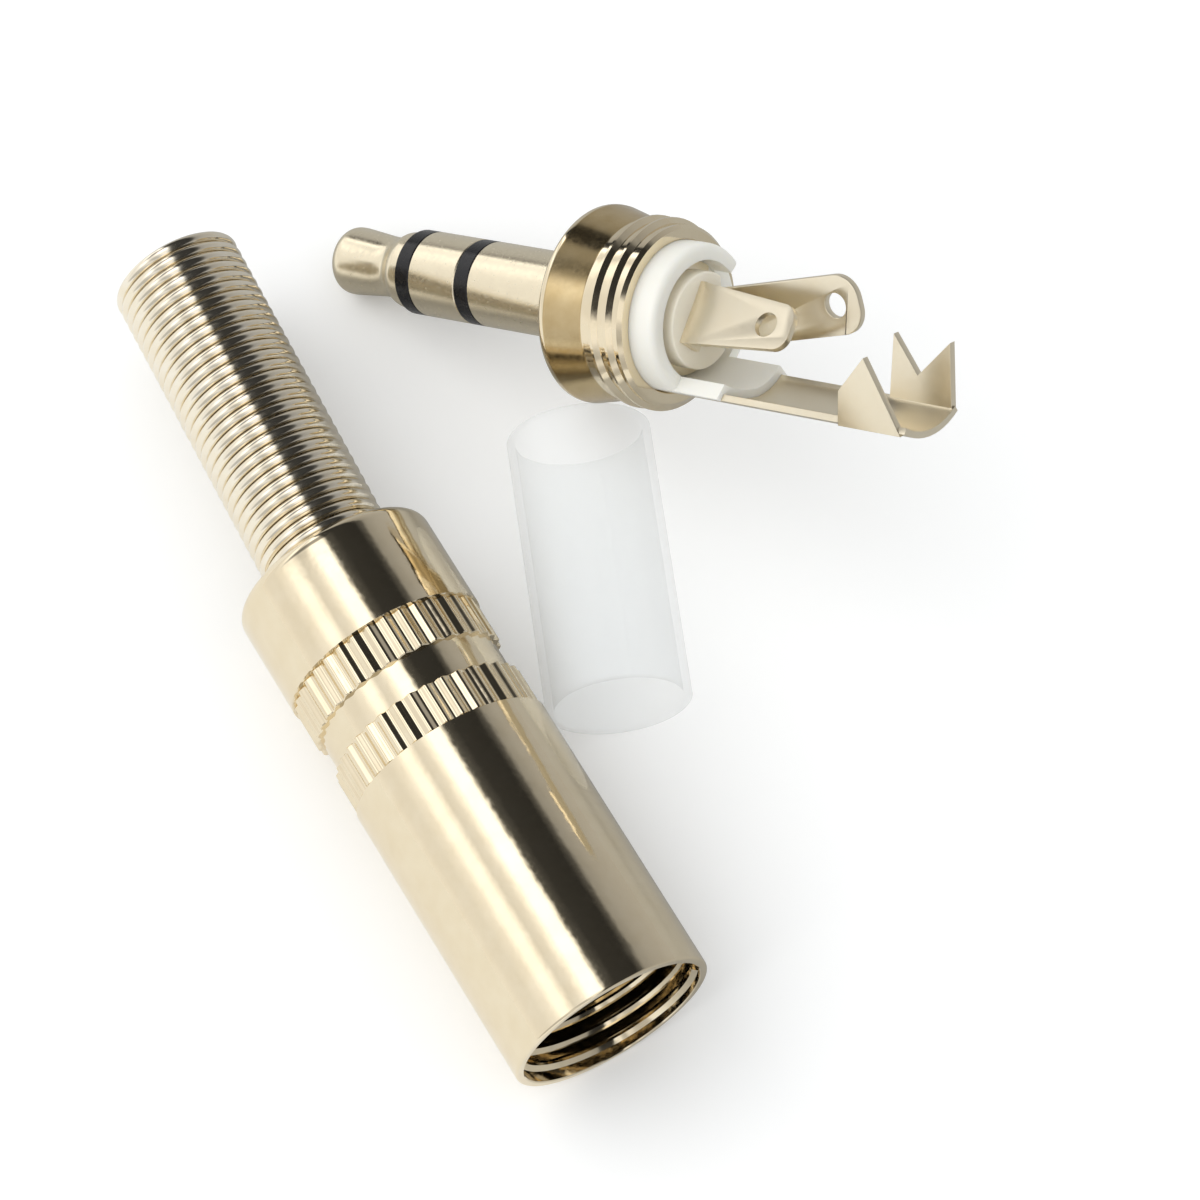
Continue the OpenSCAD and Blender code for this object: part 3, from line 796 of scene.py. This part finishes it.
class PLUG_OT_insulators(bpy.types.Operator):
    """Moulded rear insulator and the boss between the lugs"""

    bl_idname = "plug.insulators"
    bl_label = "Rear insulators"

    def execute(self, context):
        core = context.scene.plug_core
        local = core_frame().inverted()
        top = core_stations().disc + core.disc + core.wall

        def outer_rim(co):
            co = local @ co
            return abs(co.z - top) < core.edge / 2 and hypot(co.x, co.y) > core.pocket_r - 4 * core.edge

        piece = softened("rear_insulator", core.moulded_edge, outer_rim, core.wall_round)
        finish(piece, "rear_insulator", white_plastic())
        boss = softened("lug_boss", core.boss_round)
        finish(boss, "lug_boss", cream_plastic())
        return {"FINISHED"}


# Stage

# Brightness of the room that metal mirrors, by angle from straight up towards +X, in degrees
ROOM = (
    (-180, 0.60), (-100, 1.05),  # below the table's level
    (-90, 1.02), (-82, 0.94), (-70, 0.93), (-58, 1.08),  # pale wall on the left
    (-50, 1.50), (-43, 1.50),  # narrow lamp
    (-34, 0.88), (-26, 0.98), (-20, 1.30),  # pale ceiling
    (-15, 1.80), (-2, 1.80),  # broad lamp
    (3, 0.10), (14, 0.04), (39, 0.03), (46, 0.10),  # dark ceiling
    (50, 0.33), (63, 0.42), (87, 0.49), (120, 0.5),  # grey wall on the right
)
ROOM_PEAK = max(level for turn, level in ROOM)

# Darker parts of the room: axis of the direction, where each starts and is full, and how dark it is
ROOM_SHADES = {
    "back": ("Y", 0.45, 0.6, 0.75),
    "high": ("Z", 0.42, 0.55, 1),
    "near": ("Y", -0.05, -0.3, 0.4),
    "left": ("X", 0.15, 0, 1),
}

# Light on the object from all round, and from a broad soft key on the left
FILL_COLOUR = (0.97, 0.985, 1, 1)
FILL_LEVEL = 0.8
KEY_LEVEL = 1.2
KEY_SPREAD = radians(70)
KEY_FROM = Vector((-0.62, 0.36, 0.70))
WHITE = (1, 1, 1, 1)

# Table: its size, where the object's shade starts and is full in metal, how much light is left there,
# and the glow that keeps the open table white in the picture
TABLE_SIZE = 1.2
SHADE_START, SHADE_FULL = -11 * MM, -5 * MM
SHADE_LEVEL = 0.5
TABLE_GLOW = 0.1

# Camera fitted to the photograph
LENS_MM = 147.5
SENSOR_MM = 36
CAMERA_PLACE = Vector((-41.28, -71.90, 182.5)) * MM
CAMERA_AIM = Vector((0.09, -1.35, 0)) * MM


class PLUG_OT_stage(bpy.types.Operator):
    """Pale table, soft light from the left and the camera"""

    bl_idname = "plug.stage"
    bl_label = "Stage"

    def execute(self, context):
        self.table(context)
        self.room(context)
        self.key(context)
        self.camera(context)
        context.scene.view_settings.view_transform = "Standard"
        return {"FINISHED"}

    def table(self, context):
        """Matt table that keeps the soft shadows."""
        bpy.ops.object.select_all(action="DESELECT")
        bpy.ops.mesh.primitive_plane_add(size=TABLE_SIZE)
        table = context.object
        table.name = "table"
        bpy.ops.object.mode_set(mode="EDIT")
        bpy.ops.mesh.subdivide(number_cuts=3)
        bpy.ops.object.mode_set(mode="OBJECT")
        material, tree, shader, place = new_material("Pale table, matt")
        shader.inputs["Roughness"].default_value = 0.9
        shader.inputs["Specular IOR Level"].default_value = 0
        path = add(tree, "ShaderNodeLightPath")
        # Metal mirrors the table darker on the right, where the object keeps light from it
        side = add(tree, "ShaderNodeSeparateXYZ", {"Vector": place})
        shade_share = add(tree, "ShaderNodeMapRange", {
            "Value": side.outputs["X"], "From Min": SHADE_START, "From Max": SHADE_FULL})
        mirrored = add(tree, "ShaderNodeMath", {
            0: shade_share.outputs["Result"], 1: path.outputs["Is Glossy Ray"]}, operation="MULTIPLY")
        pale = linear(context.scene.plug_finishes.floor)
        shaded = [SHADE_LEVEL * part for part in pale[:3]] + [1]
        tone = add(tree, "ShaderNodeMix", {
            "Factor": mirrored.outputs[0], MIX_A: pale, MIX_B: shaded}, data_type="RGBA")
        tree.links.new(tone.outputs[MIX_RESULT], shader.inputs["Base Color"])
        seen = add(tree, "ShaderNodeMath", {
            0: path.outputs["Is Camera Ray"], 1: path.outputs["Is Transmission Ray"]}, operation="MAXIMUM")
        glow_level = add(tree, "ShaderNodeMath", {0: seen.outputs[0], 1: TABLE_GLOW}, operation="MULTIPLY")
        glow = add(tree, "ShaderNodeEmission", {"Color": WHITE, "Strength": glow_level.outputs[0]})
        total = add(tree, "ShaderNodeAddShader", {0: shader.outputs["BSDF"], 1: glow.outputs["Emission"]})
        output = tree.get_output_node("ALL")
        tree.links.new(total.outputs["Shader"], output.inputs["Surface"])
        table.data.materials.append(material)

    def room(self, context):
        """World that is white to the camera, a room to metal and an even fill to all else."""
        world = bpy.data.worlds.new("Room")
        context.scene.world = world
        world.use_nodes = True
        tree = world.node_tree
        tree.nodes.clear()
        path = add(tree, "ShaderNodeLightPath")
        toward = add(tree, "ShaderNodeTexCoord").outputs["Generated"]
        way = add(tree, "ShaderNodeSeparateXYZ", {"Vector": toward})
        angle = add(tree, "ShaderNodeMath", {0: way.outputs["X"], 1: way.outputs["Z"]}, operation="ARCTAN2")
        turn_share = add(tree, "ShaderNodeMapRange", {
            "Value": angle.outputs[0], "From Min": -pi, "From Max": pi})
        ramp = add(tree, "ShaderNodeValToRGB", {"Fac": turn_share.outputs["Result"]})
        stops = ramp.color_ramp.elements
        stops.remove(stops[1])
        for turn, level in ROOM:
            stop = stops.new((turn + 180) / 360)
            stop.color = [level / ROOM_PEAK] * 3 + [1]
        stops.remove(stops[0])
        shades = {}
        for name, (axis, start, full, darkness) in ROOM_SHADES.items():
            fade = add(tree, "ShaderNodeMapRange", {
                "Value": way.outputs[axis], "From Min": start, "From Max": full, "To Max": darkness})
            shades[name] = fade.outputs["Result"]
        dark = shades["back"]
        for operation, name in (("MULTIPLY", "high"), ("MAXIMUM", "near"), ("MULTIPLY", "left")):
            dark = add(tree, "ShaderNodeMath", {0: dark, 1: shades[name]}, operation=operation).outputs[0]
        level = add(tree, "ShaderNodeMath", {0: dark, 1: -ROOM_PEAK, 2: ROOM_PEAK}, operation="MULTIPLY_ADD")
        mirror = add(tree, "ShaderNodeBackground", {
            "Color": ramp.outputs["Color"], "Strength": level.outputs[0]})
        fill = add(tree, "ShaderNodeBackground", {"Color": FILL_COLOUR, "Strength": FILL_LEVEL})
        white = add(tree, "ShaderNodeBackground", {"Color": WHITE, "Strength": 1})
        seen = add(tree, "ShaderNodeMath", {
            0: path.outputs["Is Camera Ray"], 1: path.outputs["Is Transmission Ray"]}, operation="MAXIMUM")
        lit = add(tree, "ShaderNodeMixShader", {
            0: path.outputs["Is Glossy Ray"], 1: fill.outputs[0], 2: mirror.outputs[0]})
        total = add(tree, "ShaderNodeMixShader", {0: seen.outputs[0], 1: lit.outputs[0], 2: white.outputs[0]})
        add(tree, "ShaderNodeOutputWorld", {"Surface": total.outputs[0]})

    def key(self, context):
        """Broad soft light from the left."""
        lamp = bpy.data.lights.new("key", "SUN")
        lamp.energy = KEY_LEVEL
        lamp.angle = KEY_SPREAD
        holder = bpy.data.objects.new("key", lamp)
        # Metal mirrors the lamps of the room, so a second image of the key would be one too many
        holder.visible_glossy = False
        context.collection.objects.link(holder)
        holder.rotation_euler = KEY_FROM.to_track_quat("Z", "Y").to_euler()

    def camera(self, context):
        """Camera that sees the object as the photograph does."""
        camera = bpy.data.cameras.new("photograph")
        camera.lens = LENS_MM
        camera.sensor_width = SENSOR_MM
        camera.clip_start = 5 * MM
        holder = bpy.data.objects.new("photograph", camera)
        context.collection.objects.link(holder)
        holder.location = CAMERA_PLACE
        holder.rotation_euler = (CAMERA_AIM - CAMERA_PLACE).to_track_quat("-Z", "Y").to_euler()
        context.scene.camera = holder


STEPS = (PLUG_OT_barrel, PLUG_OT_spring, PLUG_OT_tube, PLUG_OT_shank, PLUG_OT_stampings, PLUG_OT_insulators,
         PLUG_OT_stage)


class PLUG_PT_panel(bpy.types.Panel):
    """Steps that build the plug"""

    bl_idname = "PLUG_PT_panel"
    bl_label = "Jack plug"
    bl_space_type = "VIEW_3D"
    bl_region_type = "UI"
    bl_category = "Jack plug"

    def draw(self, context):
        for step in STEPS:
            self.layout.operator(step.bl_idname)
        for group in (context.scene.plug_barrel, context.scene.plug_core, context.scene.plug_finishes):
            box = self.layout.box()
            for name in group.__annotations__:
                box.prop(group, name)


CLASSES = (BarrelSizes, CoreSizes, Finishes, *STEPS, PLUG_PT_panel)


def register():
    for cls in CLASSES:
        bpy.utils.register_class(cls)
    bpy.types.Scene.plug_barrel = PointerProperty(type=BarrelSizes)
    bpy.types.Scene.plug_core = PointerProperty(type=CoreSizes)
    bpy.types.Scene.plug_finishes = PointerProperty(type=Finishes)


def unregister():
    for name in ("plug_barrel", "plug_core", "plug_finishes"):
        delattr(bpy.types.Scene, name)
    for cls in reversed(CLASSES):
        bpy.utils.unregister_class(cls)


def main():
    register()
    bpy.ops.plug.barrel()
    bpy.ops.plug.spring()
    bpy.ops.plug.tube()
    bpy.ops.plug.shank()
    bpy.ops.plug.stampings()
    bpy.ops.plug.insulators()
    bpy.ops.plug.stage()


if __name__ == "__main__":
    main()
